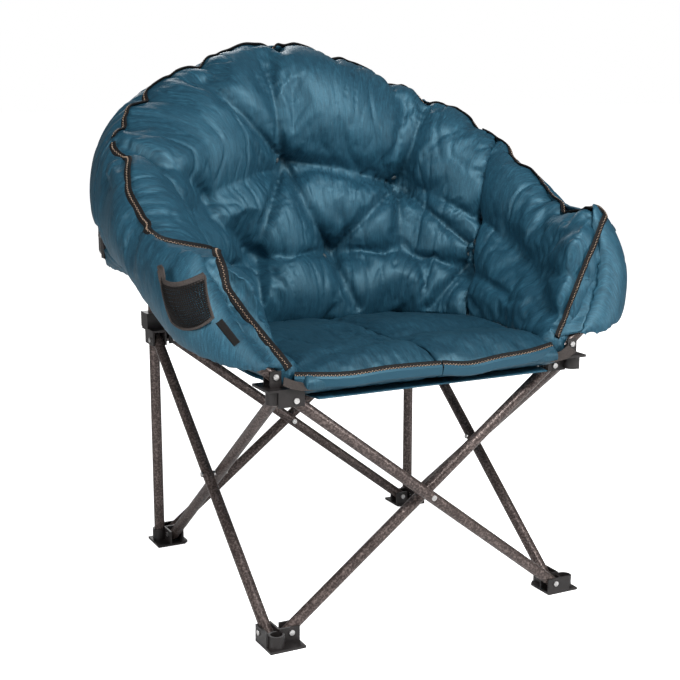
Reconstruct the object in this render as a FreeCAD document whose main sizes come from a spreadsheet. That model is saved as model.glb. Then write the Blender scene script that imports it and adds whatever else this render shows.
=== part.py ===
import FreeCAD, Part
import math
import os

import Sketcher
from FreeCAD import Placement, Rotation, Vector

os.makedirs("parts", exist_ok=True)
doc = FreeCAD.newDocument("CampingChair")

# Driving dimensions, in millimetres. The frame is a square of four crossed leg pairs.
DIMENSIONS = {
    "half_span": 272,
    "frame_y": -61,
    "pivot_inset": 29,
    "inner_offset": 19.5,
    "outer_offset": 3.5,
    "foot_pivot_z": 19,
    "hub_pivot_z": 396,
    "tube_od": 19,
    "tube_wall": 1.2,
    "leg_overhang": 9,
    "rivet_d": 6,
    "rivet_head_d": 9,
    "rivet_head_h": 2.2,
    "pin_gap": 0.08,
    "plate_t": 4,
    "plate_near": 17,
    "plate_far": 43,
    "plate_chamfer": 8,
    "socket_od": 26,
    "socket_h": 24,
    "cheek_t": 3.5,
    "cheek_gap": 0.4,
    "cheek_h": 28,
    "slide_gap": 0.3,
    "collar_w": 36,
    "collar_h": 28,
    "lug_t": 3.2,
    "lug_h": 26,
    "arm_pivot_h": 17,
    "arm_pivot_shift": 10,
    "post_top_z": 690,
    "head_grip": 18,
    "head_h": 40,
    "head_depth": 16,
    "rail_out": 78,
    "rail_z": 561,
    "rail_length": 173,
    "rail_overhang": 31,
    "bracket_t": 2.5,
    "bracket_w": 20,
    "bracket_back": 19,
    "bracket_h": 78,
    "skin_t": 2.5,
    "zip_d": 8,
    "sling_t": 2.5,
    "button_d": 15,
}
dims = doc.addObject("Spreadsheet::Sheet", "dims")
for row, (alias, value) in enumerate(DIMENSIONS.items(), start=1):
    dims.set(f"A{row}", alias)
    dims.set(f"B{row}", str(value))
    dims.setAlias(f"B{row}", alias)
doc.recompute()


def val(alias):
    return float(dims.get(alias))


SPAN = val("half_span")
SCALE = SPAN / 272
FRAME_Y = val("frame_y") * SCALE
LIFT = val("hub_pivot_z") - 396
FOOT_Z = val("foot_pivot_z")
HUB_Z = val("hub_pivot_z")
INSET = val("pivot_inset")
TUBE_R = val("tube_od") / 2
LEG_RUN = 2 * (SPAN - INSET)
LEG = math.hypot(LEG_RUN, HUB_Z - FOOT_Z)
LEG_LENGTH = (
    "sqrt((2 * (dims.half_span - dims.pivot_inset))^2 + (dims.hub_pivot_z - dims.foot_pivot_z)^2)"
)
subparts = []


def keep(item, label):
    item.Label = label
    subparts.append(item)
    return item


# A point of the upper frame or the cushions, given at nominal size about the frame's centre.
def pt(x, y, z):
    return Vector(x * SCALE, y * SCALE + FRAME_Y, z + LIFT)


def facing(along, across):
    along = Vector(along).normalize()
    across = Vector(across).normalize()
    return Rotation(across.cross(along), across, along, "ZYX")


def cylinder(radius, height, place):
    item = doc.addObject("Part::Cylinder", "Cylinder")
    item.setExpression("Radius", radius)
    item.setExpression("Height", height)
    item.Placement = place
    return item


def fuse(items):
    item = doc.addObject("Part::MultiFuse", "Fuse")
    item.Shapes = items
    return item


def cut(base, tools):
    item = doc.addObject("Part::Cut", "Cut")
    item.Base = base
    item.Tool = fuse(tools) if len(tools) > 1 else tools[0]
    return item


def group(items):
    item = doc.addObject("Part::Compound", "Group")
    item.Links = items
    return item


PIN_HOLE = "dims.rivet_d / 2 + dims.pin_gap"
BORE = "dims.tube_od / 2 - dims.tube_wall"


# A rivet with two heads, from the outer face of one part to the outer face of the other.
def rivet(start, direction, length, spacer=None):
    direction = Vector(direction).normalize()
    turn = Rotation(Vector(0, 0, 1), direction)
    pin = cylinder("dims.rivet_d / 2", str(length), Placement(start, turn))
    head_h = val("rivet_head_h")
    heads = [
        cylinder("dims.rivet_head_d / 2", "dims.rivet_head_h", Placement(start - direction * head_h, turn)),
        cylinder("dims.rivet_head_d / 2", "dims.rivet_head_h", Placement(start + direction * length, turn)),
    ]
    if spacer:
        offset, thickness = spacer
        place = Placement(start + direction * offset, turn)
        heads.append(cylinder("dims.rivet_head_d / 2", str(thickness), place))
    return fuse([pin] + heads)


# Sketches take every corner and circle from the sheet, measured from the body's origin.
def sketch(body, plane, polygons=(), circles=()):
    item = body.newObject("Sketcher::SketchObject", "Sketch")
    support = next(f for f in body.Origin.OriginFeatures if f.Role == plane)
    item.AttachmentSupport = [(support, "")]
    item.MapMode = "FlatFace"

    def bind(kind, index, point, formula):
        value = float(body.evalExpression(formula))
        ends = (-1, 1, index, point) if point else (index,)
        number = item.addConstraint(Sketcher.Constraint(kind, *ends, value))
        item.setExpression(f"Constraints[{number}]", formula)

    for corners in polygons:
        first = item.GeometryCount
        points = [Vector(*(float(body.evalExpression(c)) for c in corner), 0) for corner in corners]
        for a, b in zip(points, points[1:] + points[:1]):
            item.addGeometry(Part.LineSegment(a, b))
        for k, (x, y) in enumerate(corners):
            before = first + (k - 1) % len(corners)
            item.addConstraint(Sketcher.Constraint("Coincident", before, 2, first + k, 1))
            bind("DistanceX", first + k, 1, x)
            bind("DistanceY", first + k, 1, y)
    for x, y, radius in circles:
        centre = Vector(float(body.evalExpression(x)), float(body.evalExpression(y)), 0)
        size = float(body.evalExpression(radius))
        index = item.addGeometry(Part.Circle(centre, Vector(0, 0, 1), size))
        bind("DistanceX", index, 3, x)
        bind("DistanceY", index, 3, y)
        bind("Radius", index, 0, radius)
    return item


def box_outline(x1, x2, y1, y2):
    return ((x1, y1), (x2, y1), (x2, y2), (x1, y2))


def feature(body, kind, profile, length, both=False, down=False):
    item = body.newObject(f"PartDesign::{kind}", kind)
    item.Profile = profile
    item.setExpression("Length", length)
    item.Midplane = both
    item.Reversed = down
    profile.Visibility = False
    return item


CORNERS = {
    "front_left": (-1, -1),
    "front_right": (1, -1),
    "rear_right": (1, 1),
    "rear_left": (-1, 1),
}
SIDES = (
    ("front", "front_left", "front_right"),
    ("right", "front_right", "rear_right"),
    ("back", "rear_right", "rear_left"),
    ("left", "rear_left", "front_left"),
)


def corner(name, z):
    x, y = CORNERS[name]
    return Vector(x * SPAN, y * SPAN + FRAME_Y, z)


# The moulded corner fitting: a plate, a tube socket and two clevises at a right angle. A foot
# stands on its plate. A hub is the same moulding turned over, so its plate is on top.
REACH = "(dims.tube_od / 2 + dims.cheek_gap + dims.cheek_t)"
SEAT = "(dims.tube_od / 2 + dims.cheek_gap)"
NEAR = "-dims.plate_near"
FAR = "dims.plate_far"


def corner_fitting(label, place, bore, through=False, collar=False, lugs=None):
    body = doc.addObject("PartDesign::Body", "Fitting")
    cut_corner = "(dims.plate_far - dims.plate_chamfer)"
    plate = ((NEAR, NEAR), (FAR, NEAR), (FAR, cut_corner), (cut_corner, FAR), (NEAR, FAR))
    feature(body, "Pad", sketch(body, "XY_Plane", [plate]), "dims.plate_t")
    ring = sketch(body, "XY_Plane", circles=[("0", "0", "dims.socket_od / 2")])
    feature(body, "Pad", ring, "dims.socket_h")
    cheeks = [
        box_outline("8", FAR, f"dims.inner_offset - {REACH}", f"dims.inner_offset - {SEAT}"),
        box_outline("18", FAR, f"dims.inner_offset + {SEAT}", f"dims.inner_offset + {REACH}"),
    ]
    feature(body, "Pad", sketch(body, "XY_Plane", cheeks), "dims.cheek_h")
    cheeks = [
        box_outline(f"-dims.outer_offset - {REACH}", f"-dims.outer_offset - {SEAT}", "0", FAR),
        box_outline(f"-dims.outer_offset + {SEAT}", f"-dims.outer_offset + {REACH}", "8", FAR),
    ]
    feature(body, "Pad", sketch(body, "XY_Plane", cheeks), "dims.cheek_h")
    if collar:
        half = "dims.collar_w / 2"
        block = sketch(body, "XY_Plane", [box_outline(f"-{half}", half, f"-{half}", half)])
        feature(body, "Pad", block, "dims.collar_h", down=True)
    if lugs:
        shift = "dims.arm_pivot_shift"
        inside = f"({SEAT} + 0.2)"
        spans = [
            (f"{shift} - {inside} - dims.lug_t", f"{shift} - {inside}"),
            (f"{shift} + {inside}", f"{shift} + {inside} + dims.lug_t"),
        ]
        if lugs == "u":
            outlines = [box_outline(a, b, "-7", "11") for a, b in spans]
        else:
            outlines = [box_outline("-7", "11", a, b) for a, b in spans]
        feature(body, "Pad", sketch(body, "XY_Plane", outlines), "dims.lug_h", down=True)
    hole = sketch(body, "XY_Plane", circles=[("0", "0", bore)])
    if through:
        feature(body, "Pocket", hole, "4 * dims.cheek_h", both=True)
    else:
        place_up = body.newObject("PartDesign::Plane", "SocketFloor")
        floor = next(f for f in body.Origin.OriginFeatures if f.Role == "XY_Plane")
        place_up.AttachmentSupport = [(floor, "")]
        place_up.MapMode = "FlatFace"
        place_up.setExpression("AttachmentOffset.Base.z", "dims.plate_t")
        hole.AttachmentSupport = [(place_up, "")]
        feature(body, "Pocket", hole, "2 * dims.cheek_h", down=True)
    pin = sketch(body, "XZ_Plane", circles=[("dims.pivot_inset", "dims.foot_pivot_z", PIN_HOLE)])
    feature(body, "Pocket", pin, "2 * (dims.inner_offset + 16)", both=True)
    pin = sketch(body, "YZ_Plane", circles=[("dims.pivot_inset", "dims.foot_pivot_z", PIN_HOLE)])
    feature(body, "Pocket", pin, "2 * dims.plate_near", both=True)
    if lugs:
        plane = "YZ_Plane" if lugs == "u" else "XZ_Plane"
        pin = sketch(body, plane, circles=[("2", "-dims.arm_pivot_h", PIN_HOLE)])
        feature(body, "Pocket", pin, "6 * dims.arm_pivot_h", both=True)
    body.Placement = place
    return keep(body, label)


FIXED_BORE = "dims.tube_od / 2 + dims.pin_gap"
SLIDE_BORE = "dims.tube_od / 2 + dims.slide_gap"
FOOT_PLACE = {}
HUB_PLACE = {}
for turn, name in enumerate(CORNERS):
    spin = Rotation(Vector(0, 0, 1), 90 * turn)
    FOOT_PLACE[name] = Placement(corner(name, 0), spin)
    flip = Rotation(Vector(1, 1, 0), 180)
    HUB_PLACE[name] = Placement(corner(name, HUB_Z + FOOT_Z), spin.multiply(flip))

for name in CORNERS:
    corner_fitting(f"foot_{name}", FOOT_PLACE[name], FIXED_BORE)
corner_fitting("hub_front_left", HUB_PLACE["front_left"], FIXED_BORE, lugs="u")
corner_fitting("hub_front_right", HUB_PLACE["front_right"], FIXED_BORE, lugs="v")
corner_fitting("slider_rear_left", HUB_PLACE["rear_left"], SLIDE_BORE, through=True, collar=True)
corner_fitting("slider_rear_right", HUB_PLACE["rear_right"], SLIDE_BORE, through=True, collar=True)


# Rivets of a fitting: one through each clevis, and on a front hub one for the arm tube.
def clevis_rivets(label, place, arm=None):
    reach = TUBE_R + val("cheek_gap") + val("cheek_t")
    inner = val("inner_offset")
    outer = val("outer_offset")
    items = [
        rivet(Vector(INSET, inner - reach, FOOT_Z), (0, 1, 0), 2 * reach),
        rivet(Vector(-outer - reach, INSET, FOOT_Z), (1, 0, 0), 2 * reach),
    ]
    if arm:
        half = TUBE_R + val("cheek_gap") + 0.2 + val("lug_t")
        shift = val("arm_pivot_shift")
        low = -val("arm_pivot_h")
        if arm == "u":
            items.append(rivet(Vector(shift - half, 2, low), (1, 0, 0), 2 * half))
        else:
            items.append(rivet(Vector(2, shift - half, low), (0, 1, 0), 2 * half))
    item = group(items)
    item.Placement = place
    return keep(item, label)


for name in CORNERS:
    clevis_rivets(f"foot_rivets_{name}", FOOT_PLACE[name])
clevis_rivets("hub_rivets_front_left", HUB_PLACE["front_left"], arm="u")
clevis_rivets("hub_rivets_front_right", HUB_PLACE["front_right"], arm="v")
clevis_rivets("slider_rivets_rear_left", HUB_PLACE["rear_left"])
clevis_rivets("slider_rivets_rear_right", HUB_PLACE["rear_right"])


# Crossed legs: on each side an inner tube and an outer tube share one rivet at mid length.
def leg(label, foot, hub, across):
    low = Placement(Vector(0, 0, -val("leg_overhang")), Rotation())
    outer = cylinder("dims.tube_od / 2", f"{LEG_LENGTH} + 2 * dims.leg_overhang", low)
    tools = [cylinder(BORE, f"{LEG_LENGTH} + 2 * dims.leg_overhang", low)]
    for z in (0, LEG / 2, LEG):
        side = Placement(Vector(0, -val("tube_od"), z), Rotation(Vector(1, 0, 0), -90))
        tools.append(cylinder(PIN_HOLE, "2 * dims.tube_od", side))
    item = cut(outer, tools)
    item.Placement = Placement(foot, facing(hub - foot, across))
    return keep(item, label)


for side, start, end in SIDES:
    a = corner(start, 0)
    b = corner(end, 0)
    along = (b - a).normalize()
    inward = Vector(-along.y, along.x, 0)
    for layer, offset, foot, hub, run in (
        ("inner", val("inner_offset"), a, b, along),
        ("outer", -val("outer_offset"), b, a, -along),
    ):
        low = foot + run * INSET + inward * offset + Vector(0, 0, FOOT_Z)
        high = hub - run * INSET + inward * offset + Vector(0, 0, HUB_Z)
        leg(f"leg_{side}_{layer}", low, high, inward)
    middle = (a + b) / 2 + Vector(0, 0, (FOOT_Z + HUB_Z) / 2)
    first = -val("outer_offset") - TUBE_R - 0.2
    last = val("inner_offset") + TUBE_R + 0.2
    gap = val("inner_offset") + val("outer_offset") - 2 * TUBE_R
    spacer = (0.2 + 2 * TUBE_R + 0.3, gap - 0.6)
    keep(rivet(middle + inward * first, inward, last - first, spacer), f"cross_rivet_{side}")


# Rear posts stand in the rear feet and the sliders run on them. A moulded head on each post
# reaches out over the slider's path and down to the side rail.
def straight_tube(label, length, place):
    item = cut(cylinder("dims.tube_od / 2", length, Placement()), [cylinder(BORE, length, Placement())])
    item.Placement = place
    return keep(item, label)


def post_head(label, place):
    body = doc.addObject("PartDesign::Body", "PostHead")
    rail_x = "dims.rail_out"
    rail_z = "(dims.rail_z - dims.post_top_z + dims.head_grip)"
    inside = f"{rail_x} - 14"
    outside = f"{rail_x} + 14"
    arm_low = "dims.head_h - 22"
    foot = f"{rail_z} - 13"
    profile = (
        ("0", arm_low),
        (inside, arm_low),
        (inside, foot),
        (outside, foot),
        (outside, "dims.head_h"),
        ("0", "dims.head_h"),
    )
    cap = sketch(body, "XY_Plane", circles=[("0", "0", "dims.socket_od / 2")])
    feature(body, "Pad", cap, "dims.head_h")
    feature(body, "Pad", sketch(body, "XZ_Plane", [profile]), "dims.head_depth", both=True)
    hole = sketch(body, "XY_Plane", circles=[("0", "0", FIXED_BORE)])
    feature(body, "Pocket", hole, "dims.head_grip + 0.2", down=True)
    hole = sketch(body, "XZ_Plane", circles=[(rail_x, rail_z, FIXED_BORE)])
    feature(body, "Pocket", hole, "2 * dims.head_depth", both=True)
    body.Placement = place
    return keep(body, label)


RAIL_X = SPAN + val("rail_out")
RAIL_FRONT_Y = SPAN + val("rail_overhang") - val("rail_length")
HEAD_Z = val("post_top_z") - val("head_grip")
RAIL_Z = val("rail_z")
for side, sign in (("left", -1), ("right", 1)):
    name = f"rear_{side}"
    place = Placement(corner(name, val("plate_t") + 0.2), Rotation())
    straight_tube(f"post_{side}", "dims.post_top_z - dims.plate_t - 0.2", place)
    turn = Rotation(Vector(0, 0, 1), 0 if sign > 0 else 180)
    post_head(f"post_head_{side}", Placement(corner(name, HEAD_Z), turn))
    start = Vector(sign * RAIL_X, RAIL_FRONT_Y + FRAME_Y, RAIL_Z)
    lay = Rotation(Vector(1, 0, 0), -90)
    straight_tube(f"side_rail_{side}", "dims.rail_length", Placement(start, lay))


# Bent tubes follow a line of straight runs with a round bend at each corner.
def bent_path(points, radii):
    edges = []
    last = points[0]
    for k in range(1, len(points) - 1):
        into = (points[k] - points[k - 1]).normalize()
        away = (points[k + 1] - points[k]).normalize()
        half = into.getAngle(away) / 2
        reach = radii[k - 1] * math.tan(half)
        enter = points[k] - into * reach
        leave = points[k] + away * reach
        middle = (away - into).normalize()
        crown = points[k] + middle * (radii[k - 1] / math.cos(half) - radii[k - 1])
        edges.append(Part.LineSegment(last, enter).toShape())
        edges.append(Part.Arc(enter, crown, leave).toShape())
        last = leave
    edges.append(Part.LineSegment(last, points[-1]).toShape())
    return Part.Wire(edges)


def sweep(path, radius):
    ring = doc.addObject("Part::Circle", "Ring")
    ring.setExpression("Radius", radius)
    edge = path.Shape.Edges[0]
    start = edge.valueAt(edge.FirstParameter)
    ring.Placement = Placement(start, Rotation(Vector(0, 0, 1), edge.tangentAt(edge.FirstParameter)))
    item = doc.addObject("Part::Sweep", "Sweep")
    item.Sections = [ring]
    item.Spine = (path, [f"Edge{k + 1}" for k in range(len(path.Shape.Edges))])
    item.Solid = True
    item.Frenet = False
    return item


def bent_tube(label, points, radii, holes):
    path = doc.addObject("Part::Feature", "Path")
    path.Shape = bent_path(points, radii)
    tools = [sweep(path, BORE)]
    for centre, direction in holes:
        start = centre - direction * val("tube_od")
        turn = Rotation(Vector(0, 0, 1), direction)
        tools.append(cylinder(PIN_HOLE, "2 * dims.tube_od", Placement(start, turn)))
    return keep(cut(sweep(path, "dims.tube_od / 2"), tools), label)


# Arm tubes are hinged on the front hubs, lean out and bend back along the arms.
for side, sign in (("left", -1), ("right", 1)):
    pivot = Vector(
        sign * (SPAN - 2),
        FRAME_Y - SPAN + val("arm_pivot_shift"),
        HUB_Z + FOOT_Z + val("arm_pivot_h"),
    )
    knee = pt(sign * 332, 0, 482)
    knee.y = pivot.y
    heading = (knee - pivot).normalize()
    bends = [
        pivot - heading * val("leg_overhang"),
        knee,
        pt(sign * 370, -226, 562),
        pt(sign * 385, -90, 570),
    ]
    bent_tube(f"arm_tube_{side}", bends, (60, 40), [(pivot, Vector(0, 1, 0))])

# Each half of the back bow swings on the end of its side rail by a bracket with a rolled eye.
BRACKET_X = "dims.tube_od / 2 + 0.1"


def bow_bracket(label, place):
    body = doc.addObject("PartDesign::Body", "BowBracket")
    outer = "dims.tube_od / 2 + dims.pin_gap + dims.bracket_t"
    eye = sketch(body, "XZ_Plane", circles=[("0", "0", outer)])
    feature(body, "Pad", eye, "dims.bracket_w", both=True)
    plate = box_outline(BRACKET_X, f"{BRACKET_X} + dims.bracket_t", "0", "dims.bracket_h")
    feature(body, "Pad", sketch(body, "XZ_Plane", [plate]), "dims.bracket_w", both=True)
    hole = sketch(body, "XZ_Plane", circles=[("0", "0", FIXED_BORE)])
    feature(body, "Pocket", hole, "2 * dims.bracket_w", both=True)
    pins = [("0", "dims.bracket_h / 3", PIN_HOLE), ("0", "dims.bracket_h * 0.6", PIN_HOLE)]
    feature(body, "Pocket", sketch(body, "YZ_Plane", circles=pins), "4 * dims.tube_od", both=True)
    body.Placement = place
    return keep(body, label)


for side, sign in (("left", -1), ("right", 1)):
    eye = Vector(sign * RAIL_X, SPAN + val("bracket_back") + FRAME_Y, RAIL_Z)
    turn = Rotation(Vector(0, 0, 1), 0 if sign > 0 else 180)
    bow_bracket(f"bow_bracket_{side}", Placement(eye, turn))
    levels = (val("bracket_h") / 3, val("bracket_h") * 0.6)
    pins = [eye + Vector(0, 0, z) for z in levels]
    out = Vector(sign, 0, 0)
    length = 2 * TUBE_R + 0.3 + val("bracket_t")
    items = [rivet(pin - out * (TUBE_R + 0.2), out, length) for pin in pins]
    keep(group(items), f"bow_rivets_{side}")
    start = eye + Vector(0, 0, TUBE_R + 4.5)
    bends = [
        start,
        Vector(eye.x, eye.y, 655 + LIFT),
        pt(sign * 298, 318, 782),
        pt(sign * 158, 348, 848),
        pt(sign * 8, 354, 852),
    ]
    bent_tube(f"bow_{side}", bends, (90, 110, 110), [(pin, out) for pin in pins])

# The wall of the bucket, as stations from the middle of the back to the front of an arm. Each
# has its rim, the line where it meets the seat, and how far out its own back face lies.
STATIONS = (
    ((0, 352, 918), (0, 90, 432), 0.76, 0.60),
    ((150, 340, 886), (130, 95, 432), 0.76, 0.60),
    ((300, 275, 822), (205, 60, 432), 0.76, 0.50),
    ((389, 126, 745), (235, 0, 432), 0.72, 0.36),
    ((396, -78, 640), (246, -110, 432), 0.70, 0.34),
    ((355, -225, 606), (222, -268, 432), 0.64, 0.14),
)


# The soft front corners are not level: the right one stands up and the left one sags.
def corner_lift(s):
    return max(0, abs(s) - 4) * (22 if s > 0 else -18)


def station(s):
    place = min(int(abs(s)), len(STATIONS) - 2)
    share = abs(s) - place
    knots = [STATIONS[max(0, min(len(STATIONS) - 1, place + k))] for k in (-1, 0, 1, 2)]
    flip = -1 if s < 0 else 1

    def curve(values):
        a, b, c, d = values
        ease = -a + 3 * b - 3 * c + d
        return b + 0.5 * share * (c - a + share * (2 * a - 5 * b + 4 * c - d + share * ease))

    def spot(which):
        columns = [list(column) for column in zip(*(knot[which] for knot in knots))]
        if place == 0:
            columns[0][0] = -STATIONS[1][which][0]
            columns[1][0] = STATIONS[1][which][1]
            columns[2][0] = STATIONS[1][which][2]
        x, y, z = (curve(column) for column in columns)
        return pt(flip * x, y, z)

    lift = Vector(0, 0, corner_lift(s))
    mid = knots[1][2] + (knots[2][2] - knots[1][2]) * share
    base = knots[1][3] + (knots[2][3] - knots[1][3]) * share
    return spot(0) + lift, spot(1), mid, base


def bulge(a, b, toward, amount):
    return Part.Arc(a, (a + b) / 2 + toward * amount, b).toShape()


# One upright slice of a wall cushion. Three crowned lobes face the sitter, drawn in at two
# creases by the amounts given, and the slice narrows to the rim and to the seat.
def cushion_slice(s, upper, lower):
    rim, seat, mid, base = station(s)
    out = Vector(rim.x - seat.x, rim.y - seat.y, 0)
    depth = out.Length
    out.normalize()
    height = rim.z - seat.z

    def at(share, level):
        return seat + out * (share * depth) + Vector(0, 0, level * height)

    top = rim - out * 8
    behind = rim - out * 5 - Vector(0, 0, 12)
    crease_1 = at(0.40, 0.55) + out * upper
    crease_2 = at(0.25, 0.24) + out * lower
    low = at(base, 0) - Vector(0, 0, 8)
    edges = [
        bulge(top, crease_1, Vector(-out.x, -out.y, 0.7).normalize(), 0.17 * height),
        bulge(crease_1, crease_2, -out, 0.07 * height),
        bulge(crease_2, seat, Vector(-out.x, -out.y, 0.3).normalize(), 0.05 * height),
        Part.LineSegment(seat, low).toShape(),
        Part.LineSegment(low, at(mid, 0.56)).toShape(),
        Part.LineSegment(at(mid, 0.56), behind).toShape(),
        Part.LineSegment(behind, top).toShape(),
    ]
    return Part.Wire(edges)


def loft(wires):
    sections = []
    for wire in wires:
        section = doc.addObject("Part::Feature", "Section")
        section.Shape = wire
        sections.append(section)
    item = doc.addObject("Part::Loft", "Loft")
    item.Sections = sections
    item.Solid = True
    item.Ruled = False
    return item


# Slices of the back cushion: station, then how far the upper and lower crease are sewn in.
BACK_SLICES = (
    (-2.98, 10, 10),
    (-2.5, 4, 4),
    (-1.8, -6, -4),
    (-1.0, -10, -6),
    (-0.2, 22, -8),
    (0.32, 0, 18),
    (0.9, -10, -4),
    (1.5, 24, -8),
    (2.0, -8, -4),
    (2.45, 0, 0),
    (2.8, 4, 16),
    (2.98, 10, 10),
)
ARM_SLICES = ((3.02, 10, 10), (3.5, 0, 0), (4.0, -4, -4), (4.5, -2, -2), (5.0, 2, 2))
for side, sign in (("left", -1), ("right", 1)):
    keep(loft([cushion_slice(sign * s, a, b) for s, a, b in ARM_SLICES]), f"arm_cushion_{side}")

# Small covered buttons sit in wells where the back cushion is sewn in.
BUTTONS = (
    (-0.2, 20, 0.415, 0.58),
    (1.5, 24, 0.40, 0.55),
    (0.32, 18, 0.25, 0.24),
    (2.84, 12, 0.30, 0.34),
)
buttons = []
wells = []
for s, drawn, share, level in BUTTONS:
    rim, seat, mid, base = station(s)
    out = Vector(rim.x - seat.x, rim.y - seat.y, 0)
    spot = seat + out * share + Vector(0, 0, level * (rim.z - seat.z))
    normal = Vector(-out.x, -out.y, 0).normalize()
    turn = Rotation(Vector(0, 0, 1), normal)
    spot = spot - normal * (drawn - 2)
    buttons.append(cylinder("dims.button_d / 2", "5", Placement(spot, turn)))
    wells.append(cylinder("dims.button_d / 2 + 1", "60", Placement(spot - normal, turn)))
keep(group(buttons), "back_buttons")
keep(cut(loft([cushion_slice(*row) for row in BACK_SLICES]), wells), "back_cushion")


# Outer skins: thin cloth strips from the rim, out over the tubes and down.
def skin_slice(top, middle, bottom):
    chord = (bottom - top).normalize()
    sag = (top + bottom) / 2 - middle
    shift = (sag - chord * sag.dot(chord)).normalize() * val("skin_t")
    inner = [point + shift for point in (top, middle, bottom)]
    edges = [
        Part.Arc(top, middle, bottom).toShape(),
        Part.LineSegment(bottom, inner[2]).toShape(),
        Part.Arc(inner[2], inner[1], inner[0]).toShape(),
        Part.LineSegment(inner[0], top).toShape(),
    ]
    return Part.Wire(edges)


BACK_SKIN = (
    (0, (0, 398, 840), (0, 345, 470)),
    (1, (166, 392, 800), (165, 352, 520)),
    (2, (322, 350, 752), (322, 342, 662)),
    (2.5, (374, 272, 724), (372, 284, 662)),
    (2.97, (410, 148, 690), (405, 150, 618)),
)
wires = []
for sign, rows in ((-1, BACK_SKIN[:0:-1]), (1, BACK_SKIN)):
    for s, middle, bottom in rows:
        rim, seat, mid, base = station(sign * s)
        out = Vector(rim.x - seat.x, rim.y - seat.y, 0).normalize()
        low = [pt(sign * x, y, z) for x, y, z in (middle, bottom)]
        wires.append(skin_slice(rim + out * 10, *low))
keep(loft(wires), "back_skin")

ARM_SKIN = (
    (3.0, (398, 133, 744), (416, 140, 680), (404, 132, 600)),
    (3.5, (411, 30, 690), (424, 30, 640), (412, 25, 572)),
    (4.0, (405, -80, 642), (428, -82, 600), (414, -80, 548)),
    (4.5, (386, -180, 622), (412, -182, 570), (398, -186, 490)),
    (5.0, (366, -236, 616), (392, -252, 556), (372, -272, 466)),
    (4.9, (352, -244, 606), (352, -272, 530), (318, -290, 448)),
    (4.7, (343, -240, 590), (324, -253, 520), (271, -279, 446)),
)
for side, sign in (("left", -1), ("right", 1)):
    slices = []
    for s, *points in ARM_SKIN:
        top, middle, bottom = (pt(sign * x, y, z) for x, y, z in points)
        slices.append((top + Vector(0, 0, corner_lift(sign * s)), middle, bottom))
    keep(loft([skin_slice(*points) for points in slices]), f"arm_skin_{side}")


# The zip runs round the rim between the cushions and the skins.
def zip_tape(label, points):
    curve = Part.BSplineCurve()
    curve.interpolate(points)
    path = doc.addObject("Part::Feature", "Path")
    path.Shape = Part.Wire([curve.toShape()])
    return keep(sweep(path, "dims.zip_d / 2"), label)


def rim_points(first, last, count):
    return [station(first + (last - first) * k / (count - 1))[0] for k in range(count)]


FRONT_ZIP = ((335, -240, 560), (315, -243, 520), (289, -252, 480), (259, -268, 442))
zip_tape("rim_zip_back", rim_points(-2.95, 2.95, 17))
for side, sign in (("left", -1), ("right", 1)):
    front = [pt(sign * x, y, z) for x, y, z in FRONT_ZIP]
    zip_tape(f"rim_zip_{side}", rim_points(sign * 3.05, sign * 5, 8) + front)

# The seat is two padded halves with a seam between them, each laid on half of the sling.
SEAT_SLICES = (
    (-298, 214, 411, 424, 1),
    (-284, 214, 404, 434, 7),
    (-200, 222, 402, 438, 12),
    (-100, 228, 402, 436, 13),
    (0, 216, 402, 432, 11),
    (62, 186, 404, 428, 7),
)
SLING_OUTLINE = ((2, -294), (208, -294), (226, -200), (238, -100), (232, 60), (206, 200), (2, 200))
for side, sign in (("left", -1), ("right", 1)):
    wires = []
    for y, width, low, high, crown in SEAT_SLICES:
        inner = sign * 2
        outer = sign * width
        a = pt(inner, y, low)
        b = pt(outer, y, low)
        c = pt(outer, y, high)
        d = pt(inner, y, high)
        up = Vector(0, 0, 1)
        side_way = Vector(sign, 0, 0)
        edges = [
            Part.LineSegment(a, b).toShape(),
            bulge(b, c, side_way, 0.18 * (high - low)),
            bulge(c, d, up, crown),
            Part.LineSegment(d, a).toShape(),
        ]
        wires.append(Part.Wire(edges))
    keep(loft(wires), f"seat_cushion_{side}")
    corners = [pt(sign * x, y, 394) for x, y in SLING_OUTLINE]
    face = doc.addObject("Part::Feature", "SlingOutline")
    face.Shape = Part.Face(Part.Wire(Part.makePolygon(corners + corners[:1]).Edges))
    sling = doc.addObject("Part::Extrusion", "Sling")
    sling.Base = face
    sling.DirMode = "Custom"
    sling.Dir = Vector(0, 0, 1)
    sling.setExpression("LengthFwd", "dims.sling_t")
    sling.Solid = True
    keep(sling, f"seat_sling_{side}")

# The cup holder hangs on the front corner of the left arm and leans in with its cloth: an
# open pocket with a bound mouth. Its heading and lean are in degrees.
HOLDER = pt(-405, -270, 509)
HOLDER_HEADING = 218
HOLDER_LEAN = 16
UPRIGHT_AXIS = Vector(0, 0, 1)
HOLDER_TURN = Rotation(UPRIGHT_AXIS, HOLDER_HEADING) * Rotation(Vector(0, 1, 0), -HOLDER_LEAN)


def pocket_face(half, reach, base):
    a = Vector(base, -half, 0)
    b = Vector(base, half, 0)
    bow = Part.Arc(b, Vector(reach, 0, 0), a)
    return Part.Face(Part.Wire([Part.LineSegment(a, b).toShape(), bow.toShape()]))


def upright(shape, length, low):
    profile = doc.addObject("Part::Feature", "Profile")
    profile.Shape = shape
    item = doc.addObject("Part::Extrusion", "Upright")
    item.Base = profile
    item.DirMode = "Custom"
    item.Dir = Vector(0, 0, 1)
    item.LengthFwd = length
    item.Solid = True
    item.Placement = Placement(Vector(0, 0, low), Rotation())
    return item


def holder_piece(label, base, tool):
    item = cut(base, [tool])
    item.Placement = Placement(HOLDER, HOLDER_TURN)
    return keep(item, label)


pocket = upright(pocket_face(48, 30, 0), 74, 0)
holder_piece("cup_holder", pocket, upright(pocket_face(45, 28, 2), 74, 2.5))
mouth = upright(pocket_face(49, 31, -0.5), 8, 74.3)
holder_piece("cup_holder_binding", mouth, upright(pocket_face(45, 27, 2), 20, 70))

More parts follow.
